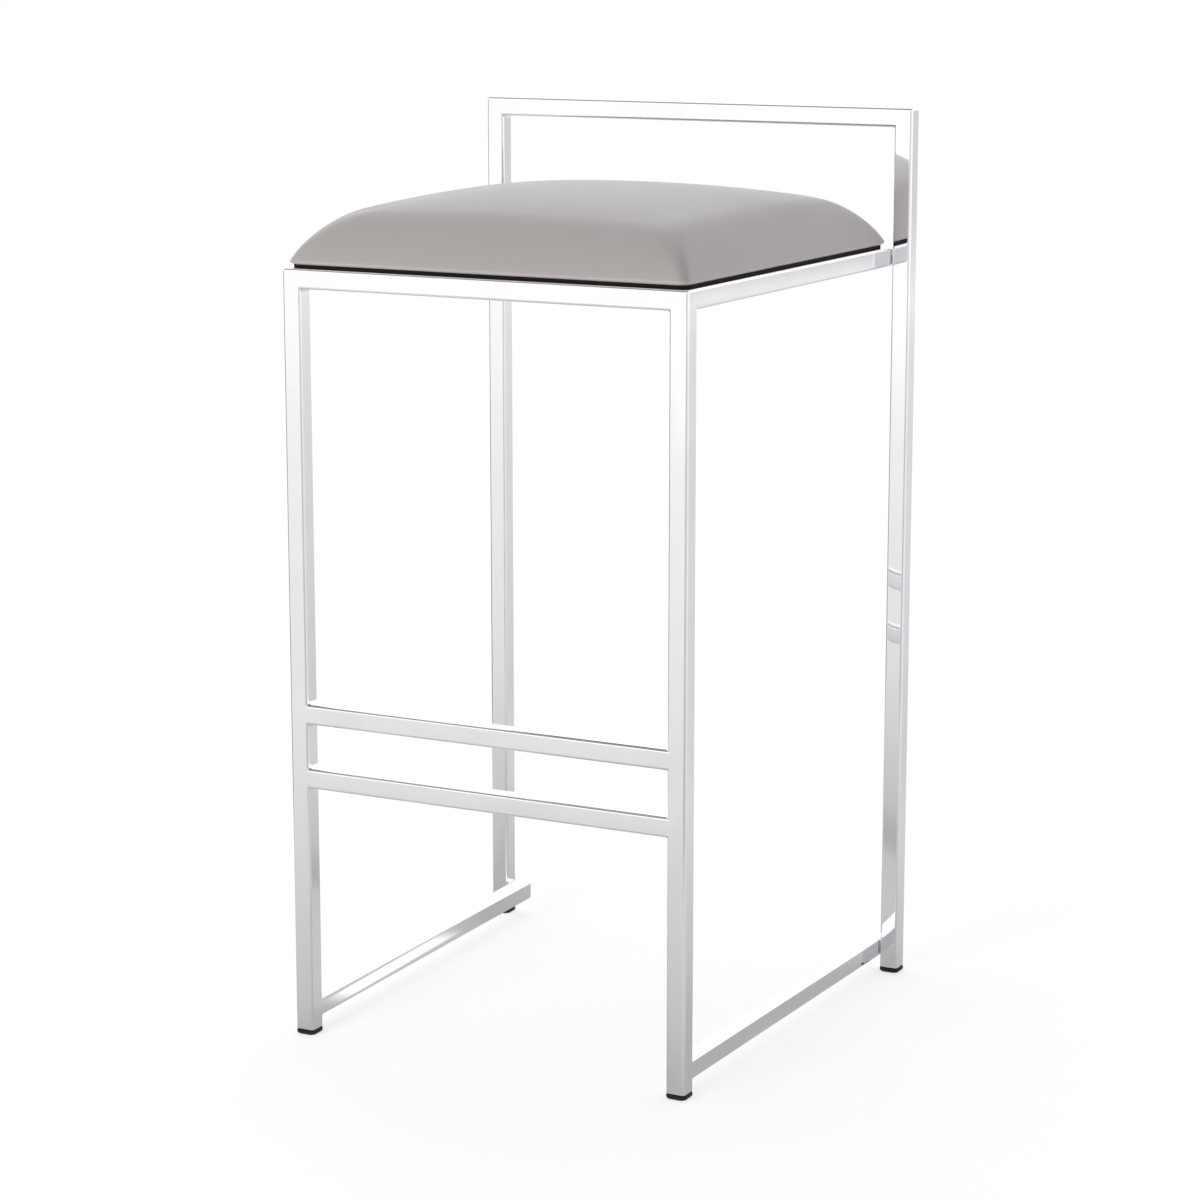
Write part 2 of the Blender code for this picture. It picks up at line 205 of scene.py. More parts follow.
def dustGroup():  # dust and scuffs that gather towards the floor
    tree, given, place = shaderGroup("lowDust", {"Clean Above": 0.05, "Speck Scale": 700}, ("Dust",))
    height = addNode(tree, "ShaderNodeSeparateXYZ", {"Vector": place}).outputs["Z"]
    low = remap(tree, height, (0.0, given["Clean Above"]), (1.0, 0.0))
    specks = addNode(tree, "ShaderNodeTexNoise", {
        "Vector": place, "Scale": given["Speck Scale"], "Detail": 6, "Roughness": 0.75})
    addNode(tree, "NodeGroupOutput", {"Dust": reckon(tree, "MULTIPLY", low, specks.outputs["Fac"])})
    return tree


polishMarks = polishGroup()
pebbleGrain = grainGroup()
lowDust = dustGroup()


# Finishes: colours and roughness at the two ends of a mask, strength and depth of the bump, plain values

finishLook = {
    "polishedSteel": {
        "colours": ((0.935, 0.922, 0.948), (0.905, 0.892, 0.918)), "rough": (0.03, 0.075), "roughBy": "Haze",
        "bump": (0.015, 0.0002), "plain": {"Metallic": 1.0}, "patches": 14,
        "along": 0.02},  # polishing lines run this much slower along a tube than across it
    "zincPlate": {
        "colours": ((0.66, 0.67, 0.69), (0.56, 0.56, 0.55)), "rough": (0.22, 0.5), "roughBy": "Lines",
        "bump": (0.15, 0.0002), "plain": {"Metallic": 1.0}, "patches": 260, "stretch": (0.3, 0.3, 0.3)},
    "weldBead": {  # straw and blue heat tint left beside a weld
        "colours": ((0.74, 0.72, 0.68), (0.50, 0.46, 0.44)), "rough": (0.18, 0.42), "roughBy": "Lines",
        "bump": (0.2, 0.0003), "plain": {"Metallic": 1.0}, "patches": 180, "stretch": (0.2, 0.2, 0.2)},
    "greyVinyl": {
        "colours": ((0.447, 0.412, 0.402), (0.423, 0.389, 0.378)), "rough": (0.26, 0.34),
        "bump": (0.05, 0.0002), "plain": {"Specular IOR Level": 0.5},
        "grain": {"Pebbles": 700, "Creases": 140, "Crease Depth": 0.3}},
    "mouldedBlack": {
        "colours": ((0.008, 0.007, 0.007), (0.05, 0.046, 0.042)), "rough": (0.35, 0.6),
        "bump": (0.25, 0.0002), "plain": {"Specular IOR Level": 0.25},
        "grain": {"Pebbles": 2400, "Creases": 500, "Crease Depth": 0.2},
        "dust": {"Clean Above": 0.004, "Speck Scale": 900}},
    "blackRubber": {
        "colours": ((0.02, 0.02, 0.02), (0.045, 0.043, 0.041)), "rough": (0.68, 0.9),
        "bump": (0.3, 0.0002), "plain": {"Specular IOR Level": 0.2},
        "grain": {"Pebbles": 3000, "Creases": 800, "Crease Depth": 0.5}},
    # painted shade: near-black finish of the strip that fills the shadow gap under the pad
    "gapShadeBlack": {
        "colours": ((0.004, 0.003, 0.003), (0.012, 0.010, 0.010)), "rough": (0.68, 0.9),
        "bump": (0.3, 0.0002), "plain": {"Specular IOR Level": 0.2},
        "grain": {"Pebbles": 3000, "Creases": 800, "Crease Depth": 0.5}},
    "blackCloth": {
        "colours": ((0.012, 0.012, 0.013), (0.06, 0.06, 0.062)), "rough": (0.8, 1.0),
        "bump": (0.5, 0.0004), "plain": {"Sheen Weight": 0.25}},
    "birchPly": {
        "colours": ((0.68, 0.52, 0.33), (0.42, 0.28, 0.15)), "rough": (0.6, 0.85),
        "bump": (0.2, 0.0004), "plain": {}},
}


def newFinish(name):
    material = bpy.data.materials.new(name)
    material.use_nodes = True
    return material, material.node_tree


def dress(material, look, colourMask, roughMask, height):
    tree = material.node_tree
    shader = tree.nodes["Principled BSDF"]
    mix = addNode(tree, "ShaderNodeMix", {"Factor": colourMask}, data_type="RGBA")
    ends = [socket for socket in mix.inputs if socket.type == "RGBA"]
    for socket, colour in zip(ends, look["colours"]):
        socket.default_value = (*colour, 1)
    strength, depth = look["bump"]
    bump = addNode(tree, "ShaderNodeBump", {"Height": height, "Strength": strength, "Distance": depth})
    mixed = next(socket for socket in mix.outputs if socket.type == "RGBA")
    tree.links.new(mixed, shader.inputs["Base Color"])
    tree.links.new(remap(tree, roughMask, target=look["rough"]), shader.inputs["Roughness"])
    tree.links.new(bump.outputs[0], shader.inputs["Normal"])
    for label, value in look["plain"].items():
        shader.inputs[label].default_value = value
    return material


def metalFinish(name, look, stretch):
    material, tree = newFinish(name)
    values = dict(zip(("Stretch X", "Stretch Y", "Stretch Z"), stretch))
    values["Patch Scale"] = look["patches"]
    marks = addNode(tree, "ShaderNodeGroup", values, node_tree=polishMarks).outputs
    return dress(material, look, marks["Haze"], marks[look["roughBy"]], marks["Lines"])


def grainFinish(name):
    material, tree = newFinish(name)
    look = finishLook[name]
    grain = addNode(tree, "ShaderNodeGroup", look["grain"], node_tree=pebbleGrain).outputs
    colourMask = grain["Cloud"]
    if "dust" in look:
        colourMask = addNode(tree, "ShaderNodeGroup", look["dust"], node_tree=lowDust).outputs["Dust"]
    return dress(material, look, colourMask, grain["Cloud"], grain["Height"])


def blackCloth():  # spun cloth with an embossed dot pattern
    material, tree = newFinish("blackCloth")
    place = objectPlace(tree)
    dots = addNode(tree, "ShaderNodeTexVoronoi", {"Vector": place, "Scale": 620, "Randomness": 0.15})
    fibres = addNode(tree, "ShaderNodeTexNoise", {
        "Vector": place, "Scale": 1900, "Detail": 6, "Roughness": 0.8, "Distortion": 2.5}).outputs["Fac"]
    height = reckon(tree, "ADD", dots.outputs["Distance"], fibres)
    return dress(material, finishLook["blackCloth"], fibres, fibres, height)


def birchPly():  # veneers stacked in the edge, grain along X on the faces
    material, tree = newFinish("birchPly")
    place = objectPlace(tree)
    height = addNode(tree, "ShaderNodeSeparateXYZ", {"Vector": place}).outputs["Z"]
    layers = reckon(tree, "SINE", reckon(tree, "MULTIPLY", height, 2600.0))  # one veneer in 2.4 mm
    drawn = addNode(tree, "ShaderNodeMapping", {"Vector": place, "Scale": (3, 60, 60)})
    grain = addNode(tree, "ShaderNodeTexNoise", {
        "Vector": drawn.outputs[0], "Scale": 6, "Detail": 8, "Roughness": 0.65,
        "Distortion": 0.6}).outputs["Fac"]
    veneers = reckon(tree, "MULTIPLY_ADD", layers, 0.18, grain)
    return dress(material, finishLook["birchPly"], veneers, grain, grain)


along = finishLook["polishedSteel"]["along"]
steelAcross, steelDeep, steelUpright = [
    metalFinish("polishedSteel" + run, finishLook["polishedSteel"], stretch)
    for run, stretch in (("Across", (along, 1, 1)), ("Deep", (1, along, 1)), ("Upright", (1, 1, along)))]
zinc, beadSteel = [
    metalFinish(name, finishLook[name], finishLook[name]["stretch"]) for name in ("zincPlate", "weldBead")]
# the last finish, foam, is painted shade for the strip in the gap under the pad
vinyl, glidePlastic, rubber, foam = [
    grainFinish(name) for name in ("greyVinyl", "mouldedBlack", "blackRubber", "gapShadeBlack")]
clothBlack = blackCloth()
plywood = birchPly()
print("finishes made:", len(bpy.data.materials))


# Welded tube frame: box cells that share corners, so every joint is one skin

tubeLook = {
    "edgeRound": 0.0026,  # outside edges, and the dressed weld in each inside corner
    "roundSteps": 4,
    "sharpAngle": 30,  # degrees; flatter joints stay one face
    "smoothAngle": 50,
    "pastJoint": 0.003,  # how far past a joint the polishing lines turn
}

legLo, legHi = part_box("front_right_leg")
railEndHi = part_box("right_seat_rail_end_cap")[1]
postLo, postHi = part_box("rear_right_post")
backLo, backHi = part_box("back_rail")
rearRailLo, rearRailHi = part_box("rear_seat_rail")
floorRailLo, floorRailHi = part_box("right_floor_rail")
tubeWidth = legHi.x - legLo.x
frontRails = [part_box(name) for name in ("lower_foot_rail", "upper_foot_rail", "front_seat_rail")]
seatRailLow, seatRailTop = frontRails[-1][0].z, frontRails[-1][1].z
seatLevel, floorLevel = (seatRailLow, seatRailTop), (floorRailLo.z, floorRailHi.z)


def railOuter(y):  # the side rails toe out towards the rear
    share = (y - legHi.y) / (railEndHi.y - legHi.y)
    return legHi.x + share * (railEndHi.x - legHi.x)


def between(side, first, second):  # low and high x on the left (-1) or right (1)
    return tuple(sorted((side * first, side * second)))


def cell(xs, ys, zs):  # xs holds the low and high x at each of the two ys
    return [(xs[j][i], ys[j], zs[k]) for k in (0, 1) for j in (0, 1) for i in (0, 1)]


def skinOfCells(cells):  # keeps the faces that only one cell has
    shape = bmesh.new()
    verts, faces = {}, {}
    for points in cells:
        box = []
        for point in points:
            key = tuple(round(value, 6) for value in point)
            if key not in verts:
                verts[key] = shape.verts.new(point)
            box.append(verts[key])
        for loop in ((0, 2, 3, 1), (4, 5, 7, 6), (0, 1, 5, 4), (2, 6, 7, 3), (0, 4, 6, 2), (1, 3, 7, 5)):
            face = [box[i] for i in loop]
            key = frozenset(face)
            faces[key] = None if key in faces else face
    for face in faces.values():
        if face:
            shape.faces.new(face)
    bmesh.ops.recalc_face_normals(shape, faces=shape.faces)
    return shape


def roundedTubes(name, cells):
    shape = skinOfCells(cells)
    limit = math.radians(tubeLook["sharpAngle"])
    foot = min(vert.co.z for vert in shape.verts) + 1e-5  # the open ends that the glides fill stay sharp
    edges = [edge for edge in shape.edges
             if edge.calc_face_angle(0) > limit and max(vert.co.z for vert in edge.verts) > foot]
    bmesh.ops.bevel(shape, geom=edges, offset=tubeLook["edgeRound"], offset_type="OFFSET", profile=0.5,
                    segments=tubeLook["roundSteps"], affect="EDGES", clamp_overlap=False)
    bmesh.ops.recalc_face_normals(shape, faces=shape.faces)
    obj = addObject(name, toMesh(name, shape))
    smoothAbove(obj.data, tubeLook["smoothAngle"])
    flat = obj.modifiers.new("flatFaces", "WEIGHTED_NORMAL")  # true mirrors between the rounded edges
    flat.weight = 100
    flat.keep_sharp = True
    return bake(obj)


def seatFrameCells():
    cells = []
    legYs = (legLo.y, legHi.y)
    railYs = (legHi.y, rearRailLo.y, rearRailHi.y, railEndHi.y)
    levels = [legLo.z, *floorLevel]
    for lo, hi in frontRails:
        levels += [lo.z, hi.z]
    for side in (-1, 1):
        legXs = between(side, legLo.x, legHi.x)
        for zs in zip(levels, levels[1:]):
            cells.append(cell((legXs, legXs), legYs, zs))
        for ys in zip(railYs, railYs[1:]):
            xs = tuple(between(side, railOuter(y), railOuter(y) - tubeWidth) for y in ys)
            cells += [cell(xs, ys, seatLevel), cell(xs, ys, floorLevel)]
    across = (-legLo.x, legLo.x)
    for lo, hi in frontRails:
        cells.append(cell((across, across), legYs, (lo.z, hi.z)))
    ys = (rearRailLo.y, rearRailHi.y)
    xs = tuple((tubeWidth - railOuter(y), railOuter(y) - tubeWidth) for y in ys)
    cells.append(cell(xs, ys, seatLevel))
    return cells


def backFrameCells():
    cells = []
    ys = (postLo.y, postHi.y)
    for side in (-1, 1):
        xs = between(side, postLo.x, postHi.x)
        for zs in ((postLo.z, backLo.z), (backLo.z, backHi.z)):
            cells.append(cell((xs, xs), ys, zs))
    across = (-postLo.x, postLo.x)
    cells.append(cell((across, across), ys, (backLo.z, backHi.z)))
    return cells


def steelByRun(obj):  # polishing lines follow the tube that a face belongs to
    obj.data.materials.clear()
    for material in (steelUpright, steelAcross, steelDeep):
        obj.data.materials.append(material)
    past = tubeLook["pastJoint"]
    for face in obj.data.polygons:
        x, y, z = face.center
        if abs(x) < legLo.x - past:
            face.material_index = 1
        elif y > legHi.y + past and abs(x) < postLo.x:
            face.material_index = 2


seatFrame = roundedTubes("seatFrame", seatFrameCells())
backFrame = roundedTubes("backFrame", backFrameCells())
for obj in (seatFrame, backFrame):
    steelByRun(obj)
    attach(obj, "root")
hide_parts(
    "front_seat_rail", "rear_seat_rail", "upper_foot_rail", "lower_foot_rail",
    *(f"front_{side}_leg{end}" for side in sides for end in ("", "_cap")),
    *(f"{side}_{level}_rail{end}" for side in sides for level in ("seat", "floor") for end in ("", "_end_cap")))
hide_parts("back_rail", *(f"rear_{side}_post" for side in sides))
print("frame skinned:", len(seatFrame.data.polygons) + len(backFrame.data.polygons), "faces")


# Welds that join the side rails to the rear posts, dressed back inside the seam

seamLook = {
    "inFromFront": 0.0026, "inFromBack": 0.0018, "inFromRailEdges": 0.0022,
    "overlap": 0.0004, "edgeRound": 0.0003, "smoothAngle": 40,
}


def postSeams():
    ys = (postLo.y + seamLook["inFromFront"], postHi.y - seamLook["inFromBack"])
    inset, overlap = seamLook["inFromRailEdges"], seamLook["overlap"]
    parts = []
    for side in (-1, 1):
        xs = tuple(between(side, railOuter(y) - overlap, postLo.x + overlap) for y in ys)
        for low, high in (seatLevel, floorLevel):
            parts.append(skinOfCells([cell(xs, ys, (low + inset, high - inset))]))
    shape = joinShapes(parts)
    bmesh.ops.bevel(shape, geom=shape.edges[:], offset=seamLook["edgeRound"], segments=2, profile=0.5,
                    affect="EDGES")
    obj = addObject("postSeams", toMesh("postSeams", shape))
    smoothAbove(obj.data, seamLook["smoothAngle"])
    return obj


standFor(postSeams(), beadSteel, "polished_steel")
print("post seams welded")


# Seat pad: vinyl drawn over foam and board, swelled by a short cloth run

padLook = {
    "edgeIn": 0.0024,  # widest line of the pad, in from the outer faces of the frame
    "lip": 0.0027,  # height of that line over the flat underside
    "rise": 0.0393, "lean": 0.0382, "fullness": 1.50,  # height of a side, its lean inwards, its curve
    "crown": 0.0189, "crownFullness": 2.3,
    "cornerRound": 0.008, "cornerSpread": 0.52,  # at the widest line, and growth for each metre further in
    "drawIn": 0.0015,  # how far the sides pull in between the corners
    "rings": 22,  # from the middle to the widest line, about 9 mm apart
    "cornerCrowd": 0.7,  # how much closer the points stand near the corners
    "startSmaller": 0.0025, "freeAbove": 0.012, "swellCap": 0.003, "evenTurns": 12,
    "pressure": 4.0, "frames": 20, "quality": 4, "bending": 2.0, "airDamping": 2.0,
    "rollUnder": (  # inset and drop from the widest line, where the vinyl turns under the board
        (0.0003, 0.0011), (0.0011, 0.0022), (0.0023, 0.0030),
        (0.0040, 0.0033), (0.0070, 0.0029), (0.0200, 0.0027)),
    "smoothing": 2,
    "fill": 0.85,
}

coverLo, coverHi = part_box("seat_cover")
padMiddle = (coverLo.y + coverHi.y) / 2
padHalfDepth = padMiddle - legLo.y - padLook["edgeIn"]
padHalfWidth = railOuter(padMiddle) - padLook["edgeIn"]
padFloor = coverLo.z
padWidest = padFloor + padLook["lip"]


def spacedAlong(path, count):  # points along a line, closer at its ends, without the last
    steps = np.r_[0, np.cumsum(np.linalg.norm(np.diff(path, axis=0), axis=1))]
    share = np.arange(count) / count
    at = steps[-1] * (share - padLook["cornerCrowd"] * np.sin(2 * np.pi * share) / (2 * np.pi))
    return np.interp(at, steps, path[:, 0]), np.interp(at, steps, path[:, 1])


def padOutline(inset, shrink, drawIn, count):  # count points round the seat, a quarter of them on each side
    halfX = (padHalfWidth - inset) * (1 - shrink)
    halfY = (padHalfDepth - inset) * (1 - shrink)
    corner = padLook["cornerRound"] + padLook["cornerSpread"] * (padHalfDepth - halfY)
    corner = min(corner, 0.95 * min(halfX, halfY))
    bend = np.radians(np.linspace(45, 0, 8))
    share = np.linspace(0, 1, 41)[1:-1]
    quarters = []
    for quarter in range(4):
        across, along = (halfX, halfY) if quarter % 2 == 0 else (halfY, halfX)
        first = np.c_[across - corner + corner * np.cos(bend), -(along - corner + corner * np.sin(bend))]
        straight = np.c_[across - drawIn * np.sin(np.pi * share), (along - corner) * (2 * share - 1)]
        u, v = spacedAlong(np.r_[first, straight, first[::-1] * (1, -1)], count // 4)
        turn = math.radians(90 * quarter)
        x = u * math.cos(turn) - v * math.sin(turn)
        y = padMiddle + u * math.sin(turn) + v * math.cos(turn)
        quarters.append(np.c_[x * (railOuter(y) - padLook["edgeIn"]) / padHalfWidth, y])
    return np.concatenate(quarters)


def crownAt(x, y):
    u = x / (railOuter(y) - padLook["edgeIn"])
    v = (y - padMiddle) / padHalfDepth
    fullness = padLook["crownFullness"]
    return padLook["crown"] * (1 - abs(u) ** fullness) * (1 - abs(v) ** fullness)


def padProfile():  # inset, height, shrink and draw-in at even steps from the widest line to the middle
    angles = np.linspace(0, np.pi / 2, 60)
    top = np.linspace(0, 1, 40)[1:]
    flat = np.ones(len(top))
    power = 2 / padLook["fullness"]
    inset = padLook["lean"] * np.r_[1 - np.cos(angles).clip(0) ** power, flat]
    height = padLook["rise"] * np.r_[np.sin(angles) ** power, flat]
    shrink = np.r_[np.zeros(len(angles)), top]
    draw = padLook["drawIn"] * np.r_[np.sin(angles), 1 - top]
    reach = padHalfWidth - padLook["lean"]
    steps = np.r_[0, np.cumsum(np.hypot(np.diff(inset + shrink * reach), np.diff(height)))]
    at = np.linspace(0, steps[-1], padLook["rings"] + 1)
    return [np.interp(at, steps, line) for line in (inset, height, shrink, draw)]


def ringStart(k):  # ring k of a square grid holds 8k points, and the middle holds one
    return 1 + 4 * k * (k - 1) if k else 0


def ringFaces(count):  # quads between the rings, one more in each corner
    faces = []
    for k in range(count):
        inner, outer = ringStart(k), ringStart(k + 1)
        innerCount, outerCount = max(8 * k, 1), 8 * (k + 1)
        for side in range(4):
            first = side * 2 * (k + 1)
            near = side * 2 * k
            faces.append((outer + (first - 1) % outerCount, outer + first, outer + first + 1,
                          inner + near % innerCount))
            for i in range(1, 2 * k + 1):
                faces.append((outer + first + i, outer + (first + i + 1) % outerCount,
                              inner + (near + i) % innerCount, inner + near + i - 1))
    return faces


def padPoints():
    inset, height, shrink, draw = padProfile()
    rings = [np.array([[0, padMiddle, padWidest + padLook["rise"] + padLook["crown"]]])]
    for k in range(1, padLook["rings"] + 1):
        i = padLook["rings"] - k
        x, y = padOutline(inset[i], shrink[i], draw[i], 8 * k).T
        rings.append(np.c_[x, y, padWidest + height[i] + crownAt(x, y)])
    return np.concatenate(rings)


def evened(moves, faces, rim):  # each point shares its neighbours' move, and the rim stays
    first, second = np.array([(face[i - 1], face[i]) for face in faces for i in range(4)]).T
    count = np.bincount(first, minlength=len(moves))
    for turn in range(padLook["evenTurns"]):
        moves = (moves + np.bincount(first, moves[second], len(moves)) / count) / 2
        moves[list(rim)] = 0
    return moves


def swell(points, faces):  # cloth under pressure, held at its widest line
    rim = range(ringStart(padLook["rings"]), len(points))
    heel = len(points)
    base = [(rim[i], rim[i - 1], heel) for i in range(len(rim))]
    mesh = plainMesh("padRun", [*points, (0, padMiddle, padWidest)], faces=faces + base)
    mesh.update()
    normals = np.array([vert.normal for vert in mesh.vertices])[:heel]
    free = np.clip((points[:, 2:] - padWidest) / padLook["freeAbove"], 0, 1)
    start = points - padLook["startSmaller"] * free * normals
    for vert, place in zip(mesh.vertices, start):
        vert.co = place
    obj = addObject("padRun", mesh)
    obj.vertex_groups.new(name="held").add([heel, *rim], 1.0, "REPLACE")
    cloth = obj.modifiers.new("cloth", "CLOTH")
    cloth.collision_settings.use_collision = False
    cloth.settings.quality = padLook["quality"]
    cloth.settings.use_pressure = True
    cloth.settings.uniform_pressure_force = padLook["pressure"]
    cloth.settings.effector_weights.gravity = 0
    cloth.settings.vertex_group_mass = "held"
    cloth.settings.bending_stiffness = padLook["bending"]
    cloth.settings.air_damping = padLook["airDamping"]
    cloth.point_cache.frame_start, cloth.point_cache.frame_end = 1, padLook["frames"]
    for number in range(1, padLook["frames"] + 1):
        scene.frame_set(number)
    ran = obj.evaluated_get(bpy.context.evaluated_depsgraph_get()).data
    outward = ((np.array([vert.co for vert in ran.vertices])[:heel] - start) * normals).sum(1)
    scene.frame_set(1)
    bpy.data.objects.remove(obj)
    print("pad swelled: mean %.1f mm, most %.1f mm" % (1000 * outward.mean(), 1000 * outward.max()))
    return start + evened(np.clip(outward, 0, padLook["swellCap"]), faces, rim)[:, None] * normals


def seatPad():
    faces = ringFaces(padLook["rings"])
    points = padPoints()
    points = swell(points, faces)
    rimCount = 8 * padLook["rings"]
    rows, last = [points], len(points) - rimCount
    for inset, drop in padLook["rollUnder"]:
        x, y = padOutline(inset, 0, 0, rimCount).T
        rows.append(np.c_[x, y, np.full(rimCount, padWidest - drop)])
        new = last + rimCount
        faces += [(last + i, new + i, new + (i + 1) % rimCount, last + (i + 1) % rimCount)
                  for i in range(rimCount)]
        last = new
    faces.append(tuple(range(last, last + rimCount)))
    mesh = plainMesh("seatPad", np.concatenate(rows), faces=faces)
    faceOut(mesh)
    mesh.shade_smooth()
    obj = addObject("seatPad", mesh)
    fine = obj.modifiers.new("fine", "SUBSURF")
    fine.levels = fine.render_levels = padLook["smoothing"]
    return bake(obj)


pad = seatPad()
standFor(pad, vinyl, "grey_vinyl", "seat_cover", "seat_foam")
print("seat pad made:", len(pad.data.polygons), "faces")


# Node trees that set small parts at points and along lines

def geometryTree(name, inputs):
    tree = bpy.data.node_groups.new(name, "GeometryNodeTree")
    tree.interface.new_socket("Geometry", in_out="INPUT", socket_type="NodeSocketGeometry")
    for label, kind in inputs.items():
        tree.interface.new_socket(label, in_out="INPUT", socket_type=f"NodeSocket{kind}")
    tree.interface.new_socket("Geometry", in_out="OUTPUT", socket_type="NodeSocketGeometry")
    return tree, addNode(tree, "NodeGroupInput").outputs


def endTree(tree, placed, material):
    real = addNode(tree, "GeometryNodeRealizeInstances", {"Geometry": placed})
    finished = addNode(tree, "GeometryNodeSetMaterial", {"Geometry": real.outputs[0], "Material": material})
    addNode(tree, "NodeGroupOutput", {"Geometry": finished.outputs[0]})
    return tree


def randomValue(tree, low, high, seed):
    inputs = {2: low, 3: high, "Seed": seed}  # the float pair of this node
    return addNode(tree, "FunctionNodeRandomValue", inputs, data_type="FLOAT").outputs[1]


def pointsTree():  # one part on every point, each turned a little differently
    tree, given = geometryTree("setAtPoints", {
        "Part": "Object", "Turn": "Float", "Seed": "Int", "Material": "Material"})
    part = addNode(tree, "GeometryNodeObjectInfo", {"Object": given["Part"]})
    back = reckon(tree, "MULTIPLY", given["Turn"], -1.0)
    spin = addNode(tree, "ShaderNodeCombineXYZ", {"Z": randomValue(tree, back, given["Turn"], given["Seed"])})
    placed = addNode(tree, "GeometryNodeInstanceOnPoints", {
        "Points": given["Geometry"], "Instance": part.outputs["Geometry"], "Rotation": spin.outputs[0]})
    return endTree(tree, placed.outputs[0], given["Material"])


def lineTree():  # parts evenly along a line, turned to follow it and slightly uneven
    tree, given = geometryTree("setAlongLine", {
        "Part": "Object", "Spacing": "Float", "Uneven": "Float", "Seed": "Int", "Material": "Material"})
    part = addNode(tree, "GeometryNodeObjectInfo", {"Object": given["Part"]})
    line = addNode(tree, "GeometryNodeMeshToCurve", {"Mesh": given["Geometry"]})
    spaced = addNode(tree, "GeometryNodeResampleCurve", {
        "Curve": line.outputs[0], "Length": given["Spacing"]}, mode="LENGTH")
    follow = addNode(tree, "FunctionNodeAlignRotationToVector", {
        "Vector": addNode(tree, "GeometryNodeInputTangent").outputs[0]}, axis="X", pivot_axis="Z")
    least = reckon(tree, "SUBTRACT", 1.0, given["Uneven"])
    most = reckon(tree, "ADD", 1.0, given["Uneven"])
    placed = addNode(tree, "GeometryNodeInstanceOnPoints", {
        "Points": spaced.outputs[0], "Instance": part.outputs["Geometry"],
        "Rotation": follow.outputs[0], "Scale": randomValue(tree, least, most, given["Seed"])})
    return endTree(tree, placed.outputs[0], given["Material"])


def stripTree():  # a soft strip along a closed line, laid on edge: Wide runs up and down, Tall across
    tree, given = geometryTree("layStrip", {
        "Wide": "Float", "Tall": "Float", "Ease": "Float", "Material": "Material"})
    line = addNode(tree, "GeometryNodeMeshToCurve", {"Mesh": given["Geometry"]})
    level = addNode(tree, "GeometryNodeSetCurveNormal", {"Curve": line.outputs[0]}, mode="Z_UP")
    section = addNode(tree, "GeometryNodeCurvePrimitiveQuadrilateral", {
        "Width": given["Tall"], "Height": given["Wide"]})
    eased = addNode(tree, "GeometryNodeFilletCurve", {
        "Curve": section.outputs[0], "Radius": given["Ease"], "Count": 2}, mode="POLY")
    laid = addNode(tree, "GeometryNodeCurveToMesh", {
        "Curve": level.outputs[0], "Profile Curve": eased.outputs[0]})
    return endTree(tree, laid.outputs[0], given["Material"])


def runTree(name, tree, guide, values):  # guide mesh to finished plain mesh
    obj = addObject(name, guide)
    nodes = obj.modifiers.new("nodes", "NODES")
    nodes.node_group = tree
    for socket in tree.interface.items_tree:
        if socket.in_out == "INPUT" and socket.name in values:
            nodes[socket.identifier] = values[socket.name]
    bake(obj)
    if "Part" in values:
        bpy.data.objects.remove(values["Part"])
    return obj


def partToSet(name, shape, smoothAngle):  # the one shape that a tree repeats
    part = addObject(name + "Part", toMesh(name, shape))
    smoothAbove(part.data, smoothAngle)
    return part


setAtPoints = pointsTree()
setAlongLine = lineTree()
layStrip = stripTree()


def fourNodes(fitting):
    return [f"{front}_{side}_{fitting}" for front, side in corners]


def middles(fitting):  # plan positions of a fitting's four nodes
    boxes = [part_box(name) for name in fourNodes(fitting)]
    return [((lo.x + hi.x) / 2, (lo.y + hi.y) / 2, 0) for lo, hi in boxes]


def fittingSet(name, fitting, shape, smoothAngle, turn, material, slot):
    obj = runTree(name, setAtPoints, plainMesh(name, middles(fitting)), {
        "Part": partToSet(name, shape, smoothAngle), "Turn": turn, "Seed": 7, "Material": material})
    standFor(obj, material, slot, *fourNodes(fitting))
    return obj


# Glides: moulded feet pushed into the tube ends

glideLook = {
    "corner": 0.0045,  # round of the foot, seen from above
    "foot": (  # height, and width against the lip
        (0.0, -0.0022), (0.0003, -0.0011), (0.0010, -0.0003), (0.0020, 0.0001), (0.0034, 0.0001),
        (0.0045, -0.0002), (0.0050, -0.0009)),
    "wall": 0.0018, "plugRound": 0.001, "plugTaper": 0.001,
    "ribHeights": (0.0080, 0.0110, 0.0140, 0.0170), "ribDepth": 0.0004, "ribHalf": 0.0006,
    "smoothAngle": 35,
}


def squarePoints(half, corner, z, steps=6):
    points = []
    reach = (half - corner) * math.sqrt(2)
    for quarter in range(4):
        middle = math.pi / 2 * (quarter + 0.5)
        for i in range(steps + 1):
            turn = math.pi / 2 * (quarter + i / steps)
            points.append((reach * math.cos(middle) + corner * math.cos(turn),
                           reach * math.sin(middle) + corner * math.sin(turn), z))
    return points


def glideShape():
    lo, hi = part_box("front_right_glide")
    half = (hi.x - lo.x) / 2
    plug, plugRound = tubeWidth / 2 - glideLook["wall"], glideLook["plugRound"]
    depth, ribHalf = glideLook["ribDepth"], glideLook["ribHalf"]
    rings = [squarePoints(half + more, glideLook["corner"], z) for z, more in glideLook["foot"]]
    rings.append(squarePoints(plug, plugRound, glideLook["foot"][-1][0]))
    for z in glideLook["ribHeights"]:  # grip ribs inside the tube
        for step, sunk in ((-ribHalf, depth), (0.0, 0.0), (ribHalf, depth)):
            rings.append(squarePoints(plug - sunk, plugRound, z + step))
    rings.append(squarePoints(plug - glideLook["plugTaper"], plugRound, hi.z))
    return loftRings(rings)


glides = fittingSet(
    "glides", "glide", glideShape(), glideLook["smoothAngle"], 0.0, glidePlastic, "black_plastic")
print("glides made:", len(glides.data.polygons), "faces")


# Seat fixings under the corners: socket screws, washers and rubber spacers

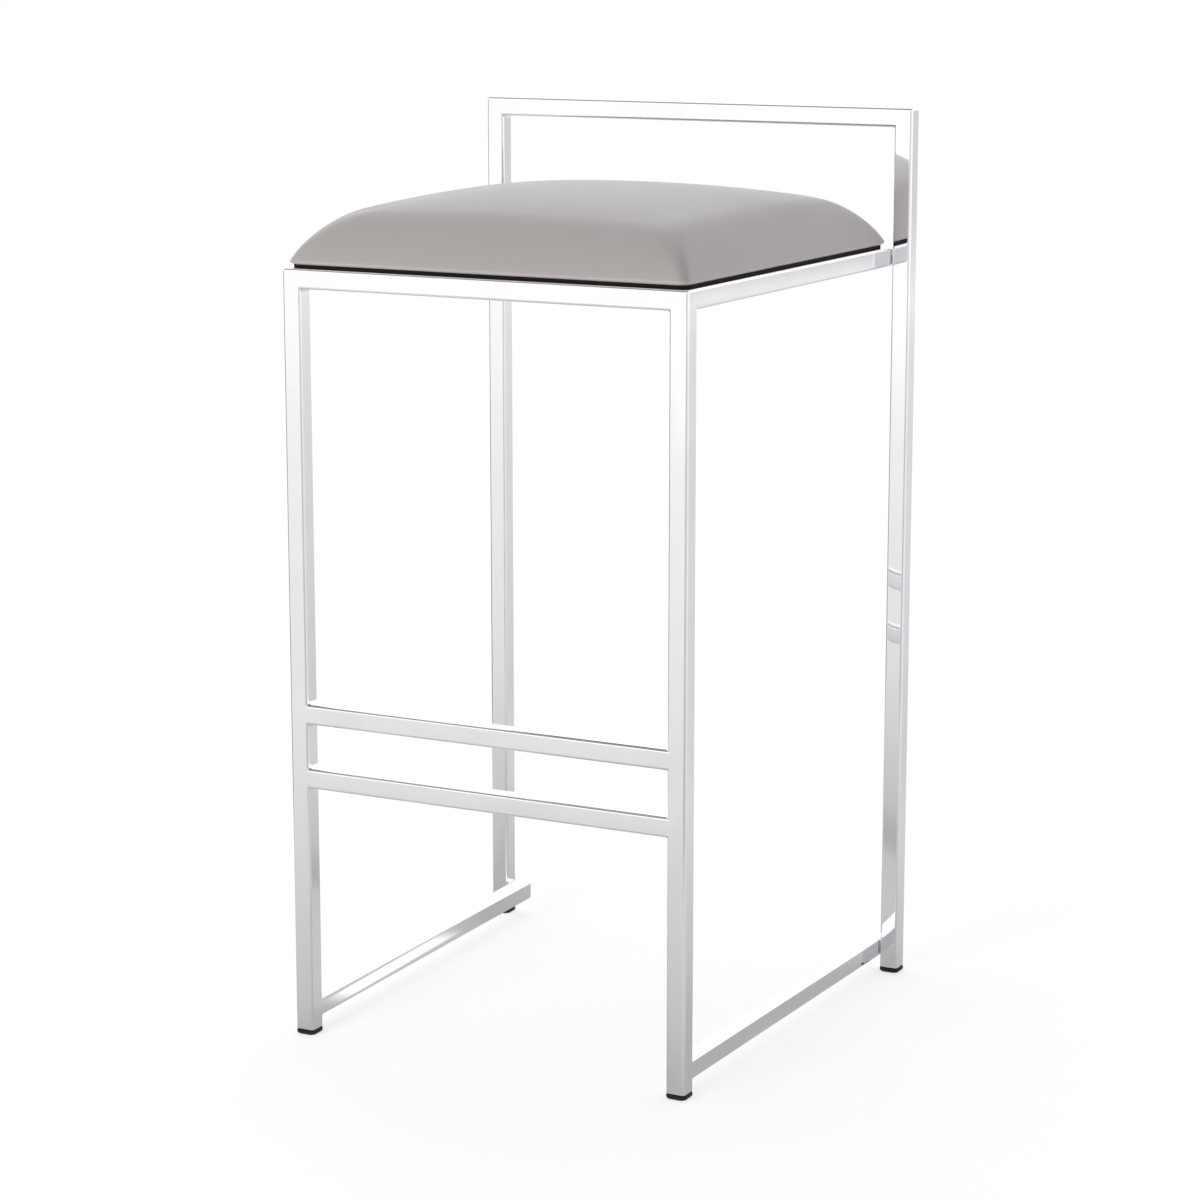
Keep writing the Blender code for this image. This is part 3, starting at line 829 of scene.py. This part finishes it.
fixingLook = {
    "socketRadius": 0.0020, "socketDepth": 0.0019, "socketEase": 0.0002,
    "headCurve": (  # share of the radius, and height
        (0.62, 0.0), (0.80, 0.0003), (0.93, 0.0010), (1.0, 0.0021)),
    "headEase": 0.0002, "shankRadius": 0.003, "tipRadius": 0.0024, "tipLength": 0.0006,
    "washerBore": 0.0032, "spacerBore": 0.0034, "edge": 0.0003,
    "turn": 3.1,  # most that a fixing is turned, in radians
    "headSteps": 24, "ringSteps": 32, "screwAngle": 35, "ringAngle": 50,
}


def hexPoints(radius, z, perSide=4):
    tips = [Vector(point) for point in roundPoints(radius, z, 6)]
    return [tips[i].lerp(tips[(i + 1) % 6], j / perSide) for i in range(6) for j in range(perSide)]


def screwShape():
    lo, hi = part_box("front_right_seat_screw")
    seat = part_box("front_right_washer")[0].z
    radius, base, ease = (hi.x - lo.x) / 2, lo.z, fixingLook["headEase"]
    socket, socketEase = fixingLook["socketRadius"], fixingLook["socketEase"]
    shank = fixingLook["shankRadius"]
    rings = [hexPoints(socket, base + fixingLook["socketDepth"]),
             hexPoints(socket, base + socketEase), hexPoints(socket + socketEase, base)]
    turned = [(radius * share, base + z) for share, z in fixingLook["headCurve"]]
    turned += [(radius, seat - ease), (radius - ease, seat), (shank, seat),
               (shank, hi.z - fixingLook["tipLength"]), (fixingLook["tipRadius"], hi.z)]
    return loftRings(rings + [roundPoints(r, z, fixingLook["headSteps"]) for r, z in turned])


def ringShape(fitting, bore):  # a flat ring with eased edges
    lo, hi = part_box(f"front_right_{fitting}")
    radius, ease = (hi.x - lo.x) / 2, fixingLook["edge"]
    outline = ((bore, lo.z + ease), (bore + ease, lo.z), (radius - ease, lo.z), (radius, lo.z + ease),
               (radius, hi.z - ease), (radius - ease, hi.z), (bore + ease, hi.z), (bore, hi.z - ease))
    return loftRings([roundPoints(r, z, fixingLook["ringSteps"]) for r, z in outline], closed=True)


turn, ringAngle = fixingLook["turn"], fixingLook["ringAngle"]
fittingSet("seatScrews", "seat_screw", screwShape(), fixingLook["screwAngle"], turn, zinc, "zinc_steel")
washer = ringShape("washer", fixingLook["washerBore"])
fittingSet("washers", "washer", washer, ringAngle, turn, zinc, "zinc_steel")
spacer = ringShape("spacer", fixingLook["spacerBore"])
fittingSet("spacers", "spacer", spacer, ringAngle, turn, rubber, "black_rubber")
print("seat fixings made")


# Corner plates that the seat is screwed to, with the beads that weld them in

plateLook = {
    "ease": 0.0005, "bore": 0.0033, "boreArea": 0.012, "steps": 48, "smoothAngle": 40,
    "weldedEdge": 0.03,  # plate edges longer than this, along a rail, are welded to it
    "beadSpacing": 0.0016, "beadRadius": 0.0019, "beadInset": 0.004, "beadUneven": 0.12, "beadAngle": 60,
    "beadCurve": (  # share of the radius, and lift
        (1.0, -0.0006), (0.94, 0.0004), (0.62, 0.0010), (0.2, 0.0012)),
    "beadShort": 0.8, "beadLean": 0.25, "beadSteps": 8,
}


def platePlan(front, side):  # plan outline of a plate, from the points of its node
    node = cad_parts[f"{front}_{side}_corner_plate"]
    lo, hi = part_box(node.name)
    flat = {(round(vert.co.x, 5), round(vert.co.y, 5)) for vert in node.data.vertices}
    x, y = middles("seat_screw")[corners.index((front, side))][:2]
    rim = [point for point in flat if math.dist(point, (x, y)) > plateLook["boreArea"]]
    return sorted(rim, key=lambda point: math.atan2(point[1] - y, point[0] - x)), (x, y), lo.z, hi.z


def rayToRim(rim, middle, turn):  # where a ray from the bore meets the outline
    dx, dy = math.cos(turn), math.sin(turn)
    for (ax, ay), (bx, by) in zip(rim, rim[1:] + rim[:1]):
        ex, ey = bx - ax, by - ay
        cross = dx * ey - dy * ex
        if abs(cross) < 1e-12:
            continue
        far = ((ax - middle[0]) * ey - (ay - middle[1]) * ex) / cross
        share = ((ax - middle[0]) * dy - (ay - middle[1]) * dx) / cross
        if far > 0 and -1e-6 <= share <= 1 + 1e-6:
            return far


def plateShape(rim, middle, low, high):
    ease, steps = plateLook["ease"], plateLook["steps"]
    turns = {round(math.atan2(y - middle[1], x - middle[0]), 6) for x, y in rim}
    turns |= {round(-math.pi + 2 * math.pi * i / steps, 6) for i in range(steps)}
    turns = sorted(turns)
    reach = [rayToRim(rim, middle, turn) for turn in turns]
    bore = [plateLook["bore"]] * len(turns)

    def ring(radii, more, z):
        return [(middle[0] + (r + more) * math.cos(t), middle[1] + (r + more) * math.sin(t), z)
                for r, t in zip(radii, turns)]

    return loftRings([
        ring(bore, 0, low + ease), ring(bore, ease, low),
        ring(reach, -ease, low), ring(reach, 0, low + ease),
        ring(reach, 0, high - ease), ring(reach, -ease, high),
        ring(bore, ease, high), ring(bore, 0, high - ease),
    ], closed=True)


def plateSeams(plans):  # the two edges of each plate that lie against a rail, as lines
    points, edges = [], []
    for rim, middle, low, high in plans:
        for (ax, ay), (bx, by) in zip(rim, rim[1:] + rim[:1]):
            a, b = Vector((ax, ay, low)), Vector((bx, by, low))
            span = (b - a).normalized()
            alongRail = abs(span.x) > 0.99 or abs(span.y) > 0.99
            if alongRail and (b - a).length > plateLook["weldedEdge"]:
                inset = span * plateLook["beadInset"]
                points += [a + inset, b - inset]
                edges.append((len(points) - 2, len(points) - 1))
    return plainMesh("plateSeams", points, edges)


def beadShape():  # one ripple of weld, low and leaning along the seam
    short, lean, steps = plateLook["beadShort"], plateLook["beadLean"], plateLook["beadSteps"]
    rings = []
    for wide, lift in plateLook["beadCurve"]:
        circle = roundPoints(plateLook["beadRadius"] * wide, -lift, steps)
        rings.append([(x * short - lean * lift, y, z) for x, y, z in circle])
    return loftRings(rings)


platePlans = [platePlan(front, side) for front, side in corners]
plates = addObject("cornerPlates", toMesh("cornerPlates", joinShapes(plateShape(*plan) for plan in platePlans)))
smoothAbove(plates.data, plateLook["smoothAngle"])
standFor(plates, steelDeep, "polished_steel", *fourNodes("corner_plate"))
beads = runTree("plateWelds", setAlongLine, plateSeams(platePlans), {
    "Part": partToSet("bead", beadShape(), plateLook["beadAngle"]), "Spacing": plateLook["beadSpacing"],
    "Uneven": plateLook["beadUneven"], "Seed": 3, "Material": beadSteel})
standFor(beads, beadSteel, "polished_steel")
print("corner plates welded:", len(beads.data.polygons), "bead faces")


# Near-black strip between the rails and the turned-under vinyl: painted shade that fills the shadow gap under
# the pad

stripLook = {
    "edgeIn": 0.0005,  # in from the pad's widest line
    "wide": 0.0060,  # its upright size, as it stands on edge, sunk into the rail and the pad
    "ease": 0.0004, "aboveRail": 0.0001, "belowPad": 0.0005,  # the last two give its size across
    "points": 160, "smoothAngle": 50,
}


def outlineLoop(name, inset, height, count):  # closed line under the pad
    points = [(x, y, height) for x, y in padOutline(inset, 0, 0, count)]
    return plainMesh(name, points, [(i, (i + 1) % count) for i in range(count)])


def seatStrip():
    low, high = seatRailTop + stripLook["aboveRail"], padFloor - stripLook["belowPad"]
    middle = stripLook["edgeIn"] + stripLook["wide"] / 2
    loop = outlineLoop("stripLine", middle, (low + high) / 2, stripLook["points"])
    obj = runTree("seatStrip", layStrip, loop, {
        "Wide": stripLook["wide"], "Tall": high - low, "Ease": stripLook["ease"], "Material": foam})
    faceOut(obj.data, mergeGap=1e-6)
    smoothAbove(obj.data, stripLook["smoothAngle"])
    return obj


strip = seatStrip()
# the strip's near-black finish is painted shade in the gap under the pad
standFor(strip, foam, "black_rubber")
print("seat strip laid:", len(strip.data.polygons), "faces")


# Dust cover under the seat, and the staples that hold it

dustLook = {
    "edgeIn": 0.0078,  # in from the pad's widest line
    "thick": 0.0005, "sag": 0.0016, "rings": 30, "smoothAngle": 50,
    "pucker": 0.0003, "puckers": 40, "puckerFade": 6,  # depth, number round the edge, how fast they fade
    "spacerRoom": 0.0004, "holeSteps": 40, "holeReach": 0.01,
    "stapleIn": 0.0166, "stapleSpacing": 0.036, "staplePoints": 160, "stapleAngle": 40,
    "stapleWidth": 0.010, "stapleLeg": 0.004, "bendHigh": 0.0007, "bendIn": 0.0005,
    "wire": 0.0009, "wireThick": 0.0006,
    "wireSection": ((-1, -0.6), (-1, 0.6), (-0.4, 1), (0.4, 1), (1, 0.6), (1, -0.6), (0.4, -1), (-0.4, -1)),
}


def spacerHoles(lo, hi):  # cutters a little wider than the spacers
    spacerLo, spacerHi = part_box("front_right_spacer")
    radius = (spacerHi.x - spacerLo.x) / 2 + dustLook["spacerRoom"]
    heights = (lo.z - dustLook["holeReach"], hi.z + dustLook["holeReach"])
    parts = []
    for x, y, ground in middles("spacer"):
        circles = [roundPoints(radius, z, dustLook["holeSteps"]) for z in heights]
        parts.append(loftRings([[(x + px, y + py, pz) for px, py, pz in circle] for circle in circles]))
    return addObject("spacerHoles", toMesh("spacerHoles", joinShapes(parts)))


def dustCover():
    lo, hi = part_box("dust_cover")
    count, fade = dustLook["rings"], dustLook["puckerFade"]
    rows = [np.array([[0, padMiddle, lo.z - dustLook["sag"]]])]
    for k in range(1, count + 1):
        share = k / count
        x, y = padOutline(dustLook["edgeIn"], 1 - share, 0, 8 * k).T
        pull = np.cos(np.arctan2(y - padMiddle, x) * dustLook["puckers"]) * share ** fade
        hang = dustLook["sag"] * (1 - share ** 2)
        rows.append(np.c_[x, y, lo.z - hang + dustLook["pucker"] * (pull - 1) * share ** fade])
    mesh = plainMesh("dustCover", np.concatenate(rows), faces=ringFaces(count))
    faceOut(mesh)
    if mesh.polygons[0].normal.z > 0:
        mesh.flip_normals()
    obj = addObject("dustCover", mesh)
    obj.modifiers.new("cloth", "SOLIDIFY").thickness = dustLook["thick"]
    bake(obj)
    cutter = spacerHoles(lo, hi)
    cut = obj.modifiers.new("holes", "BOOLEAN")
    cut.operation, cut.object, cut.solver = "DIFFERENCE", cutter, "EXACT"
    bake(obj)
    bpy.data.objects.remove(cutter)
    smoothAbove(obj.data, dustLook["smoothAngle"])
    return obj, (hi.x - lo.x, hi.y - lo.y)


def stapleShape():  # a flat wire crown with its two legs bent up into the board
    half, leg = dustLook["stapleWidth"] / 2, dustLook["stapleLeg"]
    bendHigh, inner = dustLook["bendHigh"], half - dustLook["bendIn"]
    wide, thick = dustLook["wire"] / 2, dustLook["wireThick"] / 2
    path = ((-half, leg, 0), (-half, bendHigh, 0), (-inner, 0, 45),
            (inner, 0, 135), (half, bendHigh, 180), (half, leg, 180))
    rings = []
    for x, z, lean in path:
        turn = math.radians(lean)
        across = Vector((math.cos(turn), 0, math.sin(turn))) * thick
        middle = Vector((x, 0, z))
        rings.append([middle + across * a + Vector((0, wide * b, 0)) for a, b in dustLook["wireSection"]])
    return loftRings(rings)


def stapleLine():
    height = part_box("dust_cover")[0].z - dustLook["wireThick"] / 2 - dustLook["pucker"]
    return outlineLoop("stapleLine", dustLook["stapleIn"], height, dustLook["staplePoints"])


cover, coverSize = dustCover()
standFor(cover, clothBlack, "black_cloth", "dust_cover")
staples = runTree("staples", setAlongLine, stapleLine(), {
    "Part": partToSet("staple", stapleShape(), dustLook["stapleAngle"]), "Spacing": dustLook["stapleSpacing"],
    "Uneven": 0.0, "Seed": 5, "Material": zinc})
standFor(staples, zinc, "zinc_steel")
print("dust cover stapled:", len(staples.data.polygons), "staple faces")


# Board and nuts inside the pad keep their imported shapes

for name, material in (("seat_board", plywood), *((name, zinc) for name in fourNodes("tee_nut"))):
    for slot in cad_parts[name].material_slots:
        slot.material = material
print("board and nuts finished")


# Stage: pale floor, soft light and the photographed view

stageLook = {
    "floorReach": 40.0,  # metres
    "floorColour": (0.88, 0.86, 0.84),
    "floorGlow": (0.662, 0.768), "glowReach": (1.0, 6.0),  # white that the camera sees, near and far
    "floorShade": 0.60,  # share of the lit floor on top of it, which takes the shadow
    "floorFill": 0.60,  # light that the bright floor gives back to the seat
    "mirrorShade": 0.15,  # share of the lit floor in what polished steel sees
    "mirrorReach": 6.0,  # metres, past which the floor looks plain white in the steel
    "mirrorLevel": 1.4,  # top of the next levels
    # painted shade: the floor that polished steel sees is darker near the seat, with a dip at the feet that
    # paints their shadow
    "mirroredFloor": (  # share of that reach, and level
        (0.0, 0.62), (0.03, 0.58), (0.043, 0.45), (0.055, 0.51), (0.065, 0.57), (0.08, 0.61),
        (0.125, 0.70), (0.21, 0.83), (0.35, 0.905), (0.67, 1.0), (0.83, 1.05), (1.0, 1.22)),
    # painted highlight: a glowing strip of floor that only polished steel sees, which lays a bright streak in
    # the inner face of the left floor rail
    "gleam": ((-0.1445, 0.0085), (0.0, 0.105)),  # strip of light on the floor: middle and half size in x and y
    "gleamEdge": (0.7, 1.3), "gleamLevel": 0.8,  # share of the half size where it fades, and its level
    # painted shade: the floor seen in the steel is dimmed towards these ways, past these distances
    "dimEnds": (  # dimmer ends of the room: way, where it starts and is full, from and to how far off, level
        ((-1, -0.08, 0), (0.85, 0.97), (0.7, 1.2), 0.25),
        ((0.4, 0.917, 0), (0.93, 0.995), (0.7, 1.2), 0.81),
        ((0.4, 0.917, 0), (0.93, 0.995), (5.5, 9.0), 0.75),
        ((0.47, -0.88, 0), (0.75, 0.95), (0.7, 1.2), 0.62),
    ),
    "skyColour": (0.95, 0.97, 1.0),
    "skyFill": ((0.0, 1.7), (0.3, 1.15), (0.6, 0.48), (1.0, 0.25)),  # height in the sky, and its fill light
    "dimWay": (0.66, -0.75, 0.1), "dimSpan": (0.5, 0.95), "dimLevel": 0.05,  # dark side of the room
    "wallWay": (-0.46, 0.87, 0.15), "wallLevel": 1.15,  # back wall in the steel
    "wallTones": ((0.35, (0.15, 0.14, 0.14)), (0.60, (0.32, 0.32, 0.32)), (0.80, (1, 1, 1))),  # front to back
    "skyBand": (0.45, 0.70),  # heights where the white band in the steel starts to fade, and ends
    "topLight": {"place": (-0.6, 1.2, 4.2), "size": 3.0, "power": 35.0},
    "frontLight": {"place": (-1.2, -5.4, 1.6), "size": 2.4, "power": 110.0},
    "lightAim": (0, 0, 0.5),
    "lens": 100.21, "sensor": 36,  # mm
    "azimuth": 27.372, "elevation": 11.585,  # degrees
    "place": (1.3881, -2.6741, 1.0011),
}


def glowing(tree, strength, colour=(1, 1, 1), kind="ShaderNodeEmission"):
    return addNode(tree, kind, {"Color": (*colour, 1), "Strength": strength}).outputs[0]


def mixShade(tree, share, first, second):
    return addNode(tree, "ShaderNodeMixShader", {"Fac": share, 1: first, 2: second}).outputs[0]


def addShade(tree, first, second):
    return addNode(tree, "ShaderNodeAddShader", {0: first, 1: second}).outputs[0]


def byRay(tree, toPiece, toCamera, toSteel):  # light on the pieces, the camera's view, steel's reflection
    path = addNode(tree, "ShaderNodeLightPath").outputs
    shiny = reckon(tree, "MAXIMUM", path["Is Glossy Ray"], path["Is Transmission Ray"])
    return mixShade(tree, shiny, mixShade(tree, path["Is Camera Ray"], toPiece, toCamera), toSteel)


def toneRamp(tree, value, stops):
    made = addNode(tree, "ShaderNodeValToRGB", {"Fac": value})
    elements = made.color_ramp.elements
    while len(elements) < len(stops):
        elements.new(0.5)
    for element, (place, colour) in zip(elements, stops):
        element.position, element.color = place, (*colour, 1)
    return made.outputs["Color"]


def mirroredLevel(tree, place, away):  # brightness of the floor in polished steel
    top = stageLook["mirrorLevel"]
    # painted shade: the level rises with distance from the seat, so the steel sees a darker floor round the
    # stool
    curve = addNode(tree, "ShaderNodeFloatCurve", {"Value": remap(tree, away, (0.0, stageLook["mirrorReach"]))})
    points = curve.mapping.curves[0].points
    first, *others, last = [(share, level / top) for share, level in stageLook["mirroredFloor"]]
    points[0].location, points[1].location = first, last
    for spot in others:
        points.new(*spot)
    curve.mapping.update()
    level = reckon(tree, "MULTIPLY", curve.outputs[0], top)
    toward = vectorReckon(tree, "NORMALIZE", place)
    # painted shade in the floor that only polished steel sees
    for way, facing, distance, least in stageLook["dimEnds"]:
        side = remap(tree, vectorReckon(tree, "DOT_PRODUCT", toward, way), facing, smooth=True)
        past = remap(tree, away, distance, smooth=True)
        dim = remap(tree, reckon(tree, "MULTIPLY", side, past), target=(1.0, least))
        level = reckon(tree, "MULTIPLY", level, dim)
    # painted highlight: the glowing strip added on top of the floor level
    spot = addNode(tree, "ShaderNodeSeparateXYZ", {"Vector": place}).outputs
    inside = []
    for axis, (middle, half) in zip("XY", stageLook["gleam"]):
        off = reckon(tree, "ABSOLUTE", reckon(tree, "SUBTRACT", spot[axis], middle))
        fade = [share * half for share in stageLook["gleamEdge"]]
        inside.append(remap(tree, off, fade, (1.0, 0.0), smooth=True))
    return reckon(tree, "MULTIPLY_ADD", reckon(tree, "MULTIPLY", *inside), stageLook["gleamLevel"], level)


def paleFloor():
    reach = stageLook["floorReach"]
    square = [(-reach, -reach, 0), (reach, -reach, 0), (reach, reach, 0), (-reach, reach, 0)]
    floor = addObject("floor", plainMesh("floor", square, faces=[(0, 1, 2, 3)]))
    material, tree = newFinish("paleFloor")
    tree.nodes.clear()
    place = objectPlace(tree)
    away = vectorReckon(tree, "LENGTH", place)
    colour = stageLook["floorColour"]
    matt = addNode(tree, "ShaderNodeBsdfDiffuse", {"Color": (*colour, 1)}).outputs[0]
    white = glowing(tree, remap(tree, away, stageLook["glowReach"], stageLook["floorGlow"]))
    shadow = mixShade(tree, stageLook["floorShade"], glowing(tree, 0.0), matt)
    mirrored = glowing(tree, mirroredLevel(tree, place, away))
    lit = addShade(tree, matt, glowing(tree, stageLook["floorFill"], colour))
    seen = byRay(tree, lit, addShade(tree, white, shadow),
                 mixShade(tree, stageLook["mirrorShade"], mirrored, matt))
    below = addNode(tree, "ShaderNodeNewGeometry").outputs["Backfacing"]  # clear to a camera under the floor
    clear = addNode(tree, "ShaderNodeBsdfTransparent").outputs[0]
    addNode(tree, "ShaderNodeOutputMaterial", {"Surface": mixShade(tree, below, seen, clear)})
    floor.data.materials.append(material)


def studioSky():  # white to the camera; polished steel sees a bright back wall and a dim front
    world = bpy.data.worlds.new("studioSky")
    scene.world = world
    world.use_nodes = True
    tree = world.node_tree
    tree.nodes.clear()
    way = addNode(tree, "ShaderNodeTexCoord").outputs["Generated"]
    height = addNode(tree, "ShaderNodeSeparateXYZ", {"Vector": way}).outputs["Z"]
    toWall = vectorReckon(tree, "DOT_PRODUCT", way, stageLook["wallWay"])
    wall = toneRamp(tree, remap(tree, toWall, (-1.0, 1.0)), stageLook["wallTones"])
    band = remap(tree, height, stageLook["skyBand"], (1.0, 0.0))
    mirrored = reckon(tree, "MULTIPLY", reckon(tree, "MAXIMUM", wall, band), stageLook["wallLevel"])
    fill = toneRamp(tree, height, [(z, (level, level, level)) for z, level in stageLook["skyFill"]])
    toDark = vectorReckon(tree, "DOT_PRODUCT", way, stageLook["dimWay"])
    dim = remap(tree, toDark, stageLook["dimSpan"], (1.0, stageLook["dimLevel"]))
    backdrop = "ShaderNodeBackground"
    seen = byRay(
        tree, glowing(tree, reckon(tree, "MULTIPLY", fill, dim), stageLook["skyColour"], backdrop),
        glowing(tree, 1.0, kind=backdrop), glowing(tree, mirrored, kind=backdrop))
    addNode(tree, "ShaderNodeOutputWorld", {"Surface": seen})


def softLight(name):
    look = stageLook[name]
    lamp = bpy.data.lights.new(name, "AREA")
    lamp.shape = "SQUARE"
    lamp.size = look["size"]
    lamp.energy = look["power"]
    obj = addObject(name, lamp)
    obj.location = look["place"]
    obj.rotation_euler = (Vector(stageLook["lightAim"]) - obj.location).to_track_quat("-Z", "Y").to_euler()
    obj.visible_glossy = False  # polished steel sees the room, not the lamps


def photographedView():
    camera = addObject("camera", bpy.data.cameras.new("camera"))
    azimuth, elevation = math.radians(stageLook["azimuth"]), math.radians(stageLook["elevation"])
    level = math.cos(elevation)
    back = Vector((math.sin(azimuth) * level, -math.cos(azimuth) * level, math.sin(elevation)))
    camera.location = stageLook["place"]
    camera.rotation_euler = (-back).to_track_quat("-Z", "Y").to_euler()
    camera.data.sensor_width = stageLook["sensor"]
    camera.data.lens = stageLook["lens"]
    scene.camera = camera


paleFloor()
studioSky()
softLight("topLight")
softLight("frontLight")
photographedView()
scene.view_settings.view_transform = "Standard"
print("stage lit")
